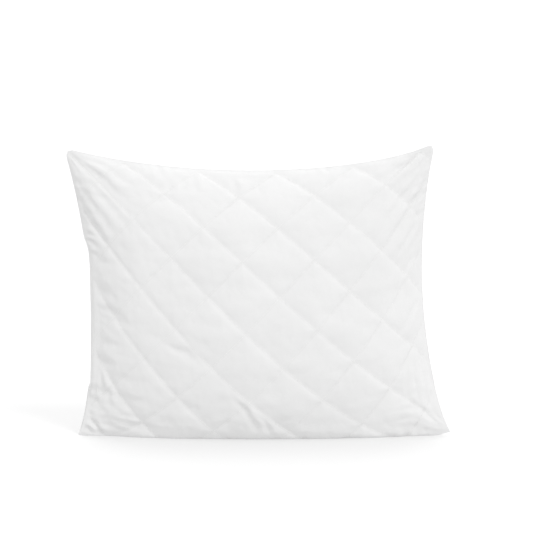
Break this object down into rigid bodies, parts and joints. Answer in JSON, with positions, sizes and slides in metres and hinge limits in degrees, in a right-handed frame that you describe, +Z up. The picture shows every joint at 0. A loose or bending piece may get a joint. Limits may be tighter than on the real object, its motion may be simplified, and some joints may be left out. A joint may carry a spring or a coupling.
{
  "type": "bed pillow",
  "caption": "Quilted fibre-filled bed pillow standing on its long edge, with diamond stitching, four ears and a zip in one short side.",
  "frame": {"origin": "on the floor, below the middle of the whole pillow's box", "axes": "+Z up, +X to the right as the front panel is looked at, the front faces -Y; the pillow stands on one long edge and leans back 4 degrees"},
  "size_m": [0.602, 0.1557, 0.4659],
  "materials": {
    "cover_fabric": "matte",
    "wadding": "matte",
    "lining_fabric": "matte",
    "filling": "matte",
    "thread": "satin",
    "zip_tape": "matte",
    "zip_coil": "satin",
    "zip_metal": "satin"
  },
  "bodies": {
    "pillow": {"front_face_fabric": "cover_fabric", "back_face_fabric": "cover_fabric", "front_wadding": "wadding", "back_wadding": "wadding", "front_lining": "lining_fabric", "back_lining": "lining_fabric", "fibre_filling": "filling", "edge_seam_thread": "thread", "front_quilting_thread": "thread", "back_quilting_thread": "thread", "zip_topstitch_front": "thread", "zip_topstitch_back": "thread", "zip_bar_tacks": "thread", "zip_tape_front": "zip_tape", "zip_tape_back": "zip_tape", "zip_coil_front": "zip_coil", "zip_coil_back": "zip_coil", "zip_top_stops": "zip_metal", "zip_bottom_stop": "zip_metal"},
    "slider": {"zip_slider": "zip_metal"},
    "pull_tab": {"zip_pull_tab": "zip_metal"}
  },
  "joints": [
    {"name": "zip_slide", "type": "slide", "parent": "pillow", "child": "slider", "axis": [0, -0.0698, -0.9976], "range_m": [0, 0.1958]},
    {"name": "pull_tab_hinge", "type": "hinge", "parent": "slider", "child": "pull_tab", "pos_m": [-0.2601, 0.00831, 0.29049], "axis": [0, 0.9976, -0.0698], "range_deg": [0, 170]}
  ]
}
